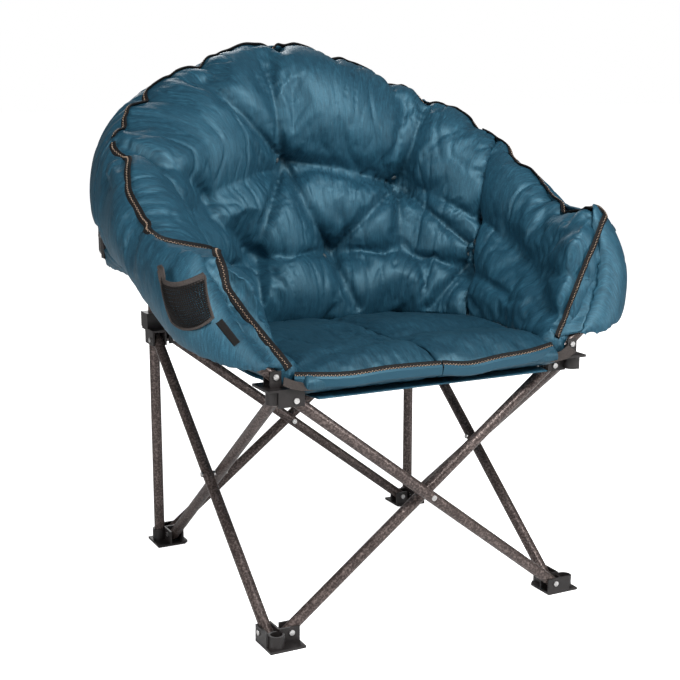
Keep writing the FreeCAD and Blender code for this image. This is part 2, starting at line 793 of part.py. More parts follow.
# A bare sewn tab on the front of the left arm.
tab = doc.addObject("Part::Box", "Tab")
tab.Length = 34
tab.Width = 1.6
tab.Height = 30
tab.Placement = Placement(pt(-362, -287, 480), Rotation(Vector(0, 0, 1), -18))
keep(tab, "arm_tab")

doc.recompute()
for item in doc.Objects:
    if "Invalid" in item.State or "Error" in item.State:
        raise RuntimeError(f"{item.Label} did not build: {item.State}")
for item in subparts:
    shape = item.Shape
    if shape.isNull() or not shape.isValid() or shape.Volume <= 0:
        raise RuntimeError(f"{item.Label} has no valid shape")
    shape.exportStep(f"parts/{item.Label}.step")
print(f"{len(subparts)} sub-parts written")
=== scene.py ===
import math

import bpy
import numpy as np
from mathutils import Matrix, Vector, noise


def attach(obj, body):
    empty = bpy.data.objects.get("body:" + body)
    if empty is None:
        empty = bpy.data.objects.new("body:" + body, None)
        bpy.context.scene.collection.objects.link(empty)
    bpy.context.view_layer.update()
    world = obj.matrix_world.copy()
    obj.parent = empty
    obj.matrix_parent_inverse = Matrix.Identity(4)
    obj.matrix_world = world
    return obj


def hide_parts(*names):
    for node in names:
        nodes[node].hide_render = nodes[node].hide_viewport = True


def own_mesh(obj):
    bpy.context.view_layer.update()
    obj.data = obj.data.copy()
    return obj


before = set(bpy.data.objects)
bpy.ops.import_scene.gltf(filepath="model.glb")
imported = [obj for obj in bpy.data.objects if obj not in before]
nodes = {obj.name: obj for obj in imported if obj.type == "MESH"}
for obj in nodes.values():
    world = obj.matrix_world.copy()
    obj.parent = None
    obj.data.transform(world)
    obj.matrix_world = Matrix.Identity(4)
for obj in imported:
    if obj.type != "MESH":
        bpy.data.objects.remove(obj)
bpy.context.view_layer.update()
scene = bpy.context.scene


# The studio: a pale floor that runs out to a white world, four soft lamps,
# and a camera at the photograph's place, a little above the seat and to the left.
CAMERA_AT = (-1.0343, -2.0505, 0.8685)
CAMERA_AZIMUTH = math.radians(-26.93)
CAMERA_ELEVATION = math.radians(11.465)
CAMERA_LENS = 68.82
CAMERA_SENSOR = 36
FLOOR_SIZE = 60
FLOOR_AT = (0, 0, -0.0006)
FLOOR_GREY = 0.86
FLOOR_GLOW = 0.95
WORLD_LIGHT = 0.13
LAMP_AIM = Vector((0, 0, 0.5))

camera = bpy.data.objects.new("Camera", bpy.data.cameras.new("Camera"))
scene.collection.objects.link(camera)
camera.data.sensor_width = CAMERA_SENSOR
camera.data.lens = CAMERA_LENS
camera.location = CAMERA_AT
camera.rotation_euler = (math.pi / 2 - CAMERA_ELEVATION, 0, CAMERA_AZIMUTH)
scene.camera = camera
scene.view_settings.view_transform = "Standard"


class Wire:
    """A shader socket on which Python's operators add Math nodes."""

    def __init__(self, finish, socket):
        self.finish = finish
        self.socket = socket

    def maths(self, operation, *values):
        return self.finish.node("ShaderNodeMath", {"operation": operation}, dict(enumerate(values)))

    def __add__(self, other):
        return self.maths("ADD", self, other)

    def __radd__(self, other):
        return self.maths("ADD", other, self)

    def __sub__(self, other):
        return self.maths("SUBTRACT", self, other)

    def __rsub__(self, other):
        return self.maths("SUBTRACT", other, self)

    def __mul__(self, other):
        return self.maths("MULTIPLY", self, other)

    def __rmul__(self, other):
        return self.maths("MULTIPLY", other, self)


class Finish:
    """One material and the nodes that make it."""

    def __init__(self, name, **constants):
        self.material = bpy.data.materials.new(name)
        self.material.use_nodes = True
        self.tree = self.material.node_tree
        self.shader = self.tree.nodes["Principled BSDF"]
        for socket, value in constants.items():
            self.shader.inputs[socket.replace("_", " ")].default_value = value

    def node(self, kind, settings=None, inputs=None, output=0):
        made = self.tree.nodes.new(kind)
        for name, value in (settings or {}).items():
            if name == "stops":
                ramp = made.color_ramp
                while len(ramp.elements) < len(value):
                    ramp.elements.new(1)
                for element, (place, colour) in zip(ramp.elements, value):
                    element.position = place
                    element.color = (*colour, 1)
            else:
                setattr(made, name, value)
        for name, value in (inputs or {}).items():
            self.feed(made.inputs[name], value)
        return Wire(self, made.outputs[output])

    def feed(self, socket, value):
        if isinstance(value, Wire):
            self.tree.links.new(value.socket, socket)
        else:
            socket.default_value = value

    def place(self, scale=(1, 1, 1), attribute=None):
        if attribute:
            spot = self.node("ShaderNodeAttribute", {"attribute_name": attribute}, output="Vector")
        else:
            spot = self.node("ShaderNodeTexCoord", output="Object")
        return self.node("ShaderNodeMapping", None, {"Vector": spot, "Scale": scale})

    def noise(self, vector, scale, detail=3.0, roughness=0.55):
        sockets = {"Vector": vector, "Scale": scale, "Detail": detail, "Roughness": roughness}
        return self.node("ShaderNodeTexNoise", None, sockets)

    def ramp(self, value, *stops):
        return self.node("ShaderNodeValToRGB", {"stops": stops}, {"Fac": value})

    def bump(self, height, distance, strength=1.0, normal=None):
        sockets = {"Height": height, "Distance": distance, "Strength": strength}
        if normal:
            sockets["Normal"] = normal
        return self.node("ShaderNodeBump", None, sockets)

    def wear(self, **wires):
        for socket, value in wires.items():
            self.feed(self.shader.inputs[socket.replace("_", " ")], value)
        return self.material


def deselect():
    if bpy.context.mode != "OBJECT":
        bpy.ops.object.mode_set(mode="OBJECT")
    bpy.ops.object.select_all(action="DESELECT")


def choose(piece):
    deselect()
    piece.select_set(True)
    bpy.context.view_layer.objects.active = piece
    return piece


deselect()
bpy.ops.mesh.primitive_plane_add(size=FLOOR_SIZE, location=FLOOR_AT)
floor = bpy.context.object
floor.name = "studio_floor"
studio = Finish("studio_floor", Roughness=0.9)
studio.shader.inputs["Base Color"].default_value = (FLOOR_GREY, FLOOR_GREY, FLOOR_GREY, 1)
floor.data.materials.append(studio.material)
rays = studio.node("ShaderNodeLightPath", output="Is Camera Ray")
glow = studio.node("ShaderNodeEmission", None, {"Color": (1, 1, 1, 1), "Strength": FLOOR_GLOW}, "Emission")
paint = Wire(studio, studio.shader.outputs[0])
both = studio.node("ShaderNodeAddShader", None, {0: paint, 1: glow})
seen = studio.node("ShaderNodeMixShader", None, {0: rays, 1: paint, 2: both})
studio.feed(studio.tree.nodes["Material Output"].inputs["Surface"], seen)

world = bpy.data.worlds.new("studio_world")
scene.world = world
world.use_nodes = True
sky = world.node_tree
path = sky.nodes.new("ShaderNodeLightPath")
strength = sky.nodes.new("ShaderNodeMapRange")
strength.inputs["To Min"].default_value = WORLD_LIGHT
strength.inputs["To Max"].default_value = 1.0
sky.links.new(path.outputs["Is Camera Ray"], strength.inputs["Value"])
sky.nodes["Background"].inputs["Color"].default_value = (1, 1, 1, 1)
sky.links.new(strength.outputs[0], sky.nodes["Background"].inputs["Strength"])

LAMPS = (
    ("key", (0.1, -1.9, 2.5), 0.9, 78),
    ("right", (2.0, -2.2, 1.2), 1.0, 32),
    ("left", (-2.5, -1.3, 1.3), 1.0, 38),
    ("rear", (0.6, 2.8, 1.9), 1.2, 34),
)
for name, place, size, watts in LAMPS:
    lamp = bpy.data.lights.new(name, "AREA")
    lamp.size = size
    lamp.energy = watts
    holder = bpy.data.objects.new(name, lamp)
    scene.collection.objects.link(holder)
    holder.location = place
    holder.rotation_euler = (LAMP_AIM - Vector(place)).to_track_quat("-Z", "Y").to_euler()


# Steel tubes of the folding frame: legs, posts, rails, arm tubes and the bow.
# They are bent and cut from one stock and powder coated in hammered dark bronze.
def hammered_coat():
    coat = Finish("hammered_bronze", Metallic=0.5, IOR=1.5)
    spot = coat.place()
    dimples = coat.node("ShaderNodeTexVoronoi", {"feature": "SMOOTH_F1"}, {"Vector": spot, "Scale": 330.0})
    cloud = coat.noise(spot, 40.0)
    speck = coat.noise(spot, 420.0, 2.0)
    tone = dimples * 0.55 + speck * 0.45 + cloud * 0.25
    colour = coat.ramp(tone, (0.25, (0.024, 0.0172, 0.0158)), (0.55, (0.066, 0.049, 0.045)),
                       (0.85, (0.23, 0.182, 0.166)))
    return coat.wear(
        Base_Color=colour,
        Roughness=0.24 + cloud * 0.20,
        Normal=coat.bump(dimples + speck * 0.4, 0.0006, 0.55),
    )


TUBES = ("leg_", "post_left", "post_right", "side_rail", "arm_tube", "bow_left", "bow_right")


def dress(prefixes, material):
    for name, node in nodes.items():
        if name.startswith(prefixes):
            node.data.materials.clear()
            node.data.materials.append(material)


dress(TUBES, hammered_coat())


# Moulded fittings: feet, hubs, sliders and the heads of the rear posts, in black
# glass-filled plastic with a fine grain, rubbed a little paler in places.
def moulded_black():
    plastic = Finish("moulded_black")
    spot = plastic.place()
    grain = plastic.noise(spot, 900.0, 2.0)
    rubbed = plastic.noise(spot, 38.0, 4.0)
    colour = plastic.ramp(rubbed, (0.35, (0.009, 0.0072, 0.007)), (0.62, (0.0165, 0.0132, 0.013)),
                          (0.8, (0.038, 0.031, 0.030)))
    return plastic.wear(
        Base_Color=colour,
        Roughness=0.36 + rubbed * 0.25,
        Normal=plastic.bump(grain, 0.0003, 0.4),
    )


FITTINGS = ("foot_front", "foot_rear", "hub_front", "slider_rear_left", "slider_rear_right", "post_head")
dress(FITTINGS, moulded_black())


# Rivets of bright steel at every pivot, and the zinc-plated brackets that carry the bow.
# Both are turned or pressed parts, with faint scratches.
def bare_steel(name, colour, roughness):
    steel = Finish(name, Metallic=1.0)
    spot = steel.place()
    scratches = steel.noise(steel.place((90, 90, 1400)), 1.0, 4.0)
    cloud = steel.noise(spot, 130.0)
    low = tuple(0.55 * part for part in colour)
    return steel.wear(
        Base_Color=steel.ramp(cloud, (0.3, low), (0.65, colour)),
        Roughness=roughness + scratches * 0.25,
        Normal=steel.bump(scratches, 0.0002, 0.25),
    )


RIVETS = ("foot_rivets", "hub_rivets", "slider_rivets", "cross_rivet", "bow_rivets")
dress(RIVETS, bare_steel("rivet_steel", (0.74, 0.73, 0.72), 0.16))
dress(("bow_bracket",), bare_steel("bracket_steel", (0.24, 0.23, 0.23), 0.30))


# The rim of the cover: a curve round the back and down both arms, which every cushion,
# panel and zip follows. It is drawn down in notches where the stuffing is sewn through.
SHIFT_Y = -0.061
RIM_KNOTS = (
    (0.000, 0.352, 0.918),
    (0.150, 0.340, 0.886),
    (0.300, 0.275, 0.822),
    (0.389, 0.126, 0.745),
    (0.396, -0.078, 0.640),
    (0.355, -0.225, 0.606),
)
CORNER_FROM = 4
RIGHT_CORNER_LIFT = 0.022
LEFT_CORNER_LIFT = -0.018
NOTCHES = (
    (-4.0, 0.010), (-3.05, 0.022), (-2.55, 0.014), (-2.0, 0.018), (-1.1, 0.016), (0.0, 0.030),
    (0.75, 0.012), (1.52, 0.018), (2.05, 0.034), (2.75, 0.014), (3.35, 0.024), (3.9, 0.010), (4.3, 0.010),
)
NOTCH_WIDTH = 0.12
PUFF = 0.009


def rim(s):
    """A point of the rim: s is 0 at the middle of the back, and 5 or -5 at the front of an arm."""
    place = min(int(abs(s)), len(RIM_KNOTS) - 2)
    share = abs(s) - place
    mirrored = (-RIM_KNOTS[1][0], *RIM_KNOTS[1][1:])
    row = (mirrored, *RIM_KNOTS, RIM_KNOTS[-1])
    a, b, c, d = (np.array(row[place + k]) for k in range(4))
    square = 2 * a - 5 * b + 4 * c - d
    cube = 3 * b - a - 3 * c + d
    point = b + 0.5 * share * (c - a + share * (square + share * cube))
    if s < 0:
        point[0] = -point[0]
    point[1] += SHIFT_Y
    lift = RIGHT_CORNER_LIFT if s > 0 else LEFT_CORNER_LIFT
    point[2] += max(0, abs(s) - CORNER_FROM) * lift
    return point


def bell(gap, width):
    """1 where the gap is nothing, falling to nothing past the width."""
    return np.exp(-(gap / width) ** 2)


RIM_END = 5
RIM_STEPS = np.linspace(-RIM_END, RIM_END, 401)
RIM_LINE = np.array([rim(s) for s in RIM_STEPS])
RIM_PULL = PUFF - sum(depth * bell(RIM_STEPS - s, NOTCH_WIDTH) for s, depth in NOTCHES)
RIM_REACH = 0.055
SPREAD_AT = (-5.0, -4.85, -4.6, -4.3, -4.0, -3.0, -2.6)
SPREAD_BY = (0, 0, 0.028, 0.040, 0.020, 0.015, 0)
SPREAD_WAY = np.array((-0.89, 0.45, 0))
RIM_SPREAD = np.interp(RIM_STEPS, SPREAD_AT, SPREAD_BY)[:, None] * SPREAD_WAY
BATCH = 4000


def gather_rim(points):
    """Moves points near the rim with its puffs and notches, and out at the left arm's corner."""
    moved = points.copy()
    for first in range(0, len(points), BATCH):
        batch = slice(first, first + BATCH)
        gaps = np.linalg.norm(points[batch][:, None] - RIM_LINE[None], axis=2)
        nearest = gaps.argmin(1)
        weight = bell(gaps.min(1), RIM_REACH)
        moved[batch] += RIM_SPREAD[nearest] * weight[:, None]
        moved[batch, 2] += RIM_PULL[nearest] * weight
    return moved


# Cover cloth: a heathered teal polyester with a satin face. Yarn streaks run over the
# rim from front to back, so the pattern reads a grain that turns with the bucket.
BUCKET_Y = -0.10
BUCKET_RADIUS = 0.36


def grain_of(points, flat):
    """Where each point lies on the cloth: round the bucket, out from its middle and up."""
    if flat:
        return points
    turn = np.arctan2(points[:, 0], points[:, 1] - BUCKET_Y)
    radius = np.hypot(points[:, 0], points[:, 1] - BUCKET_Y)
    return np.column_stack((turn * BUCKET_RADIUS, radius, points[:, 2]))


TEALS = ((0.40, (0.0032, 0.021, 0.039)), (0.54, (0.0090, 0.049, 0.082)), (0.68, (0.0235, 0.098, 0.148)))
SHEEN_TINT = (0.45, 0.82, 1.0, 1)
# The dark colour mixed in along the seams and round the buttons: partly stitch thread, partly painted shade
# in and round the seams' grooves.
STITCH_AND_SHADE_COLOUR = (0.003, 0.011, 0.019, 1)
STITCH_AND_SHADE_COVER = 0.88


def heathered_cloth(name, painted_shade_scale=1.0):
    cloth = Finish(name, Specular_IOR_Level=0.8, Specular_Tint=SHEEN_TINT)
    streaks = cloth.noise(cloth.place((620, 34, 34), "grain"), 1.0, 3.0, 0.6)
    slubs = cloth.noise(cloth.place((1300, 90, 90), "grain"), 1.0, 2.0)
    cross = cloth.noise(cloth.place((90, 900, 900), "grain"), 1.0, 2.0)
    cloud = cloth.noise(cloth.place((9, 9, 9), "grain"), 1.0, 4.0)
    tone = streaks * 0.40 + slubs * 0.36 + cross * 0.20 + cloud * 0.12 - 0.02
    # Every colour of the cloth is scaled by the second argument; a scale below 1 is painted shade.
    colour = cloth.ramp(tone, *((at, tuple(painted_shade_scale * part for part in teal)) for at, teal in TEALS))
    # This mark darkens the cloth along its seams and round its buttons: partly stitch thread, partly
    # painted shade in and round the grooves.
    seam = cloth.node("ShaderNodeAttribute", {"attribute_name": "seam"}, output="Fac")
    dark = {0: seam * STITCH_AND_SHADE_COVER, 6: colour, 7: STITCH_AND_SHADE_COLOUR}
    shaded = cloth.node("ShaderNodeMix", {"data_type": "RGBA"}, dark, 2)
    creases = cloth.noise(cloth.place((70, 26, 26), "grain"), 1.0, 4.0, 0.62)
    weave = cloth.bump(slubs + cross, 0.0004, 0.35)
    return cloth.wear(
        Base_Color=shaded,
        Roughness=0.46 + streaks * 0.14,
        Normal=cloth.bump(creases, 0.005, 0.25, weave),
    )


satin = heathered_cloth("teal_satin")
# The seat's copy of the satin has all its colours scaled to 0.8: painted shade for the seat inside the
# bucket.
seat_satin_painted_shade = heathered_cloth("teal_satin_seat_painted_shade", 0.8)


def points_of(piece, what="co"):
    flat = np.empty(3 * len(piece.data.vertices), np.float32)
    piece.data.vertices.foreach_get(what, flat)
    return flat.reshape(-1, 3).astype(float)


def normals_of(piece):
    return points_of(piece, "normal")


def move_points(piece, points):
    piece.data.vertices.foreach_set("co", points.astype(np.float32).ravel())
    piece.data.update()


def press_in(piece, depths):
    """Moves each point of a piece in along its own normal."""
    move_points(piece, points_of(piece) - normals_of(piece) * depths[:, None])


def open_mesh(piece):
    """Edit mode on one piece, with all of it selected."""
    choose(piece)
    bpy.ops.object.mode_set(mode="EDIT")
    bpy.ops.mesh.select_all(action="SELECT")


def apply_modifier(piece, kind, **settings):
    choose(piece)
    modifier = piece.modifiers.new(kind.title(), kind)
    for name, value in settings.items():
        setattr(modifier, name, value)
    bpy.ops.object.modifier_apply(modifier=modifier.name)


MERGE = 0.00002


def soft_copy(node, name, voxel, thicken=0.0, lumps=(), ease=0):
    """A remeshed copy of a CAD soft solid, thickened where it is only a skin.
    Lumps are balls of stuffing that the remesh melts into it."""
    piece = bpy.data.objects.new(name, nodes[node].data.copy())
    scene.collection.objects.link(piece)
    piece.data.materials.clear()
    open_mesh(piece)
    bpy.ops.mesh.remove_doubles(threshold=MERGE)
    if thicken:
        bpy.ops.transform.shrink_fatten(value=thicken)
    for centre, radius in lumps:
        bpy.ops.mesh.primitive_ico_sphere_add(subdivisions=2, radius=radius, location=centre)
    bpy.ops.object.mode_set(mode="OBJECT")
    apply_modifier(piece, "REMESH", mode="VOXEL", voxel_size=voxel)
    if ease:
        apply_modifier(piece, "SMOOTH", factor=0.5, iterations=ease)
    return piece


def stuff(piece, sewn, pressure=4.0, growth=0.05, reach=0.022, steps=20):
    """Swells a piece as cloth under pressure, held where it is sewn."""
    before = points_of(piece)
    choose(piece)
    group = piece.vertex_groups.new(name="sewn")
    group.add([int(k) for k in np.flatnonzero(sewn)], 1.0, "REPLACE")
    cloth = piece.modifiers.new("Stuffing", "CLOTH")
    settings = cloth.settings
    settings.quality = 4
    settings.mass = 0.3
    settings.tension_stiffness = 15
    settings.compression_stiffness = 10
    settings.bending_stiffness = 0.3
    settings.vertex_group_mass = "sewn"
    settings.use_pressure = True
    settings.uniform_pressure_force = pressure
    settings.shrink_min = -growth
    settings.effector_weights.gravity = 0
    cloth.collision_settings.use_collision = False
    for step in range(1, steps + 1):
        scene.frame_set(step)
    bpy.ops.object.modifier_apply(modifier="Stuffing")
    scene.frame_set(1)
    moved = points_of(piece) - before
    length = np.linalg.norm(moved, axis=1, keepdims=True)
    move_points(piece, before + moved * np.minimum(1, reach / np.maximum(length, 1e-9)))
    apply_modifier(piece, "SMOOTH", factor=0.5, iterations=2)


SEAM_DEPTH = 0.008
SEAM_WIDTH = 0.0045
SEAM_FAINT = 0.25
# The seam colour: a narrow dark line of stitch thread and painted shade in each groove, and a wider band of
# painted shade round it.
SHADE_WIDTH = 0.014
SHADE_TONE = 0.25
STITCH_SHADE_WIDTH = 0.4 * SEAM_WIDTH
STITCH_SHADE_TONE = 0.8
KNOT_REACH = 0.055
WRINKLE_RUN = np.array((30, 9, 9))
WRINKLE_THIN = 0.075
BROAD_RUN = 0.45
BROAD_DEPTH = 1.3
BROAD_LOSS = 0.6
PATCH_RUN = 11
PATCH_EDGE = 2.2
FAR = 1e3


def wrinkled(points, flat, depth):
    """How far in each point lies: creases along the grain, thick in some places and absent in others."""
    grain = grain_of(points, flat)
    inward = np.empty(len(points))
    for k, spot in enumerate(grain):
        fine = noise.noise(Vector(spot * WRINKLE_RUN))
        broad = noise.noise(Vector(spot * WRINKLE_RUN * BROAD_RUN + 7))
        patch = min(1, max(0, 0.5 + PATCH_EDGE * noise.noise(Vector(spot * PATCH_RUN + 3))))
        crease = math.exp(-(fine / WRINKLE_THIN) ** 2) * patch
        fold = BROAD_DEPTH * math.exp(-(broad / WRINKLE_THIN) ** 2)
        inward[k] = crease + fold * (1 - BROAD_LOSS * patch)
    return depth * inward


def gap_to(points, line):
    """How far each point is from the nearest point of a traced line."""
    gaps = np.full(len(points), FAR)
    for spot in line:
        gaps = np.minimum(gaps, np.linalg.norm(points - spot, axis=1))
    return gaps


def mark_grain(piece, flat):
    grain = piece.data.attributes.new("grain", "FLOAT_VECTOR", "POINT")
    grain.data.foreach_set("vector", grain_of(points_of(piece), flat).astype(np.float32).ravel())


def finish_soft(piece, node, body, material, flat=False, smooth=1, seams=(), knots=(), wrinkles=0):
    """Smooths a finished soft piece, gives it its cloth, and sets it on its body."""
    choose(piece)
    piece.vertex_groups.clear()
    if smooth:
        apply_modifier(piece, "SUBSURF", levels=smooth, render_levels=smooth)
    bpy.ops.object.shade_smooth()
    seam = np.zeros(len(piece.data.vertices))
    if len(seams):
        near = gap_to(points_of(piece), seams)
        fade = SEAM_FAINT + (1 - SEAM_FAINT) * bell(gap_to(points_of(piece), knots), KNOT_REACH)
        press_in(piece, SEAM_DEPTH * fade * bell(near, SEAM_WIDTH))
        # Painted shade along the seams and round the buttons, with the stitch thread in each groove:
        # deepest near the buttons, fainter between them.
        stitch_shade = STITCH_SHADE_TONE * bell(near, STITCH_SHADE_WIDTH)
        seam = fade * np.maximum(stitch_shade, SHADE_TONE * bell(near, SHADE_WIDTH))
    if wrinkles:
        press_in(piece, wrinkled(points_of(piece), flat, wrinkles))
    mark = piece.data.attributes.new("seam", "FLOAT", "POINT")
    mark.data.foreach_set("value", seam.astype(np.float32))
    mark_grain(piece, flat)
    piece.data.materials.append(material)
    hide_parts(node)
    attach(piece, body)
    return piece


# The padded back: one quilted cushion of cloth over fibre, sewn to its lining with four
# buttons and the seams between them, so that it stands up in puffs.
BACK_VOXEL = 0.0068
IMAGE = 680
SEAMS = (
    ((284, 161), (331, 252), (358, 308)),
    ((398, 185), (331, 252)),
    ((398, 185), (402, 245)),
    ((398, 185), (478, 252), (430, 308)),
    ((284, 161), (256, 256), (262, 300)),
    ((284, 161), (240, 110), (205, 80)),
    ((284, 161), (278, 110), (268, 66)),
    ((398, 185), (412, 145), (424, 108)),
    ((284, 161), (341, 168), (398, 185)),
    ((478, 252), (505, 210), (520, 180)),
)
LEFT_FOLD = ((115, 141), (148, 155), (176, 170), (190, 190), (203, 218), (219, 230), (243, 245), (259, 257))
SEAM_HOLD = 0.0075
TUFT_HOLD = 0.018
RIM_HOLD = 0.014
REAR_FACING = 0.35
BUTTON_APART = 0.03
TUFT_REACH = 0.045
FINE_PIXELS = 1.5


def sight(pixel):
    """The direction from the camera through a pixel of the photograph."""
    width = camera.data.sensor_width / camera.data.lens
    across = (pixel[0] / IMAGE - 0.5) * width
    up = (0.5 - pixel[1] / IMAGE) * width
    turn = camera.rotation_euler.to_matrix()
    return (turn @ Vector((across, up, -1))).normalized()


def trace(piece, line, spacing=6):
    """The points of a piece under a line of pixels."""
    found = []
    for start, end in zip(line, line[1:]):
        count = max(2, int(math.dist(start, end) / spacing))
        for k in range(count + 1):
            share = k / count
            pixel = (start[0] + (end[0] - start[0]) * share, start[1] + (end[1] - start[1]) * share)
            hit, place, normal, face = piece.ray_cast(Vector(CAMERA_AT), sight(pixel))
            if hit:
                found.append(tuple(place))
    return np.array(found).reshape(-1, 3)


def sew(piece, lines, depth, width):
    """Draws a piece in along seam lines and returns how near each point is to one."""
    points = points_of(piece)
    near = np.full(len(points), FAR)
    for line in lines:
        near = np.minimum(near, gap_to(points, line))
    press_in(piece, depth * bell(near, width))
    return near


def button_spots():
    """The middles of the CAD buttons, which are separate shells in one node."""
    points = points_of(nodes["back_buttons"])
    spots = []
    while len(points):
        near = np.linalg.norm(points - points[0], axis=1) < BUTTON_APART
        spots.append(points[near].mean(0))
        points = points[~near]
    return np.array(spots)


def pull_in(piece, spots, depth, width):
    """Draws a piece towards its tufts, along each tuft's own surface direction."""
    points = points_of(piece)
    normals = normals_of(piece)
    for spot in spots:
        near = np.linalg.norm(points - spot, axis=1)
        inward = -normals[near < TUFT_REACH].mean(0)
        inward /= np.linalg.norm(inward)
        points += inward * (depth * bell(near, width))[:, None]
    move_points(piece, points)


back = soft_copy("back_cushion", "padded_back", BACK_VOXEL)
tuft_spots = button_spots()
move_points(back, gather_rim(points_of(back)))
pull_in(back, tuft_spots, depth=0.012, width=0.030)
seam_lines = [trace(back, line) for line in SEAMS]
seam_gap = sew(back, seam_lines, depth=0.012, width=0.013)
sew(back, [trace(back, LEFT_FOLD)], depth=0.016, width=0.014)
points = points_of(back)
tuft_gap = gap_to(points, tuft_spots)
rim_gap = gap_to(points, gather_rim(RIM_LINE)[::2])
held = (seam_gap < SEAM_HOLD) | (tuft_gap < TUFT_HOLD) | (rim_gap < RIM_HOLD)
held |= normals_of(back)[:, 1] > REAR_FACING
stuff(back, held, pressure=6.0, growth=0.07, reach=0.030)
seams = np.concatenate([trace(back, line, FINE_PIXELS) for line in SEAMS] + [tuft_spots])
finish_soft(back, "back_cushion", "rear_left_slider", satin,
            seams=seams, knots=tuft_spots, wrinkles=0.0024)


# Buttons of pressed metal under a grey cover, one at each tuft. Their threads pull them
# into the back until they nearly sink from sight.
BUTTON_RADIUS = 0.0052
BUTTON_FLAT = 0.5
BUTTON_SINK = 0.0005


def button_finish():
    button = Finish("button_grey")
    cloud = button.noise(button.place(), 300.0)
    colour = button.ramp(cloud, (0.3, (0.028, 0.044, 0.052)), (0.7, (0.070, 0.092, 0.102)))
    return button.wear(Base_Color=colour, Roughness=0.45 + cloud * 0.2)


covered = []
for spot in tuft_spots:
    hit, place, normal, face = back.closest_point_on_mesh(Vector(spot))
    deselect()
    bpy.ops.mesh.primitive_uv_sphere_add(segments=20, ring_count=10, radius=BUTTON_RADIUS)
    button = bpy.context.object
    button.scale = (1, 1, BUTTON_FLAT)
    button.rotation_euler = normal.to_track_quat("Z", "Y").to_euler()
    button.location = place - normal * BUTTON_SINK
    covered.append(button)
choose(covered[0])
for button in covered:
    button.select_set(True)
bpy.ops.object.join()
buttons = bpy.context.object
buttons.name = "covered_buttons"
bpy.ops.object.transform_apply(location=True, rotation=True, scale=True)
bpy.ops.object.shade_smooth()
buttons.data.materials.append(button_finish())
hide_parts("back_buttons")
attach(buttons, "rear_left_slider")


# The padded arms: rolls of the same quilted cloth that run on from the back and end
# in a flat front panel beside the seat.
ARM_VOXEL = 0.006
FRONT_ZIP = ((0.335, -0.240, 0.560), (0.315, -0.243, 0.520), (0.289, -0.252, 0.480), (0.259, -0.268, 0.442))
FRONT_ROLL = 0.027
ROLL_COUNT = 12
ROLL_TUCK = (0.014, 0.019, -0.012)
ARM_REAR = (-0.01, 0.08)
ARM_OVERLAP = 0.016
ARM_TUCK = -0.005
ARM_FLOOR = 0.437
ARM_FOLD_HOLD = 0.0065


def front_zip(sign):
    """The line of the zip down the front of an arm, below the rim."""
    return [np.array((sign * x, y + SHIFT_Y, z)) for x, y, z in FRONT_ZIP]


def distances(line):
    """How far along a line each of its points is."""
    return np.concatenate(([0], np.cumsum(np.linalg.norm(np.diff(line, axis=0), axis=1))))


def between(points, count):
    """Evenly spaced points on a smooth curve through a few."""
    points = np.array(points)
    steps = distances(points)
    slopes = np.gradient(points, steps, axis=0)
    wanted = np.linspace(0, steps[-1], count)
    k = np.clip(np.searchsorted(steps, wanted, side="right") - 1, 0, len(steps) - 2)
    span = (steps[k + 1] - steps[k])[:, None]
    t = ((wanted - steps[k]) / span[:, 0])[:, None]
    return (
        (1 + 2 * t) * (1 - t) ** 2 * points[k]
        + t * (1 - t) ** 2 * span * slopes[k]
        + t * t * (3 - 2 * t) * points[k + 1]
        + t * t * (t - 1) * span * slopes[k + 1]
    )


def rise(values, start, run):
    """0 up to the start, then rising evenly to 1 over the run."""
    return np.clip((values - start) / run, 0, 1)


SIDES = (("left", -1), ("right", 1))
ARM_SEAMS = {
    "left": (
        ((215, 262), (250, 300), (280, 345)),
        ((196, 226), (240, 262), (268, 300)),
    ),
    "right": (
        ((530, 262), (560, 235), (590, 215)),
        ((530, 262), (545, 300), (556, 322)),
        ((530, 262), (505, 230)),
    ),
}
for side, sign in SIDES:
    edge = between([rim(sign * RIM_END), *front_zip(sign)], ROLL_COUNT)
    tuck = np.array((-sign * ROLL_TUCK[0], *ROLL_TUCK[1:]))
    roll = [(tuple(spot + tuck), FRONT_ROLL) for spot in edge]
    arm = soft_copy(f"arm_cushion_{side}", f"padded_arm_{side}", ARM_VOXEL, lumps=roll, ease=6)
    points = gather_rim(points_of(arm))
    rear = rise(points[:, 1], *ARM_REAR)
    points[:, 1] += ARM_OVERLAP * rear
    points[:, 0] += sign * ARM_TUCK * rear
    move_points(arm, points)
    lines = [trace(arm, line) for line in ARM_SEAMS[side]]
    fold_gap = sew(arm, lines, depth=0.008, width=0.014)
    points = points_of(arm)
    rim_gap = gap_to(points, gather_rim(RIM_LINE)[::2])
    held = (rim_gap < RIM_HOLD) | (points[:, 2] < ARM_FLOOR) | (fold_gap < ARM_FOLD_HOLD)
    stuff(arm, held, pressure=5.0, growth=0.07, reach=0.024)
    finish_soft(arm, f"arm_cushion_{side}", f"arm_{side}", satin, wrinkles=0.0022)


# The seat: two flat pads of the same cloth over foam, with a seam between them. Under
# them a sling of plain cloth, in two halves as well, carries the weight.
SEAT_VOXEL = 0.0055
SEAT_REAR = (-0.09, 0.08)
SEAT_TUCK = 0.045
SEAT_SIDE = (0.15, 0.06)
SEAT_SPREAD = 0.014
SEAT_FRONT = (-0.35, 0.06)
PAD_TOP = (0.415, 0.02)
PAD_CROWN = 0.008
CROWN_WIDTH = 0.06
PAD_DRAW = 0.003
PAD_DRAW_WIDTH = 0.02
PAD_FLOOR = 0.418
PAD_LIP = -0.352
PAD_HOLD = 0.006
SLING_VOXEL = 0.004
SLING_THICKEN = 0.0015
SLING_DRAW = 0.005
SLING_DRAW_WIDTH = 0.03
SEAT_FOLDS = {
    "left": (((369, 318), (377, 340)), ((377, 340), (330, 352), (300, 368)), ((377, 340), (345, 330))),
    "right": (((377, 340), (420, 356), (452, 364)), ((377, 340), (430, 330), (470, 328))),
}


def soften(share):
    return share * share * (3 - 2 * share)


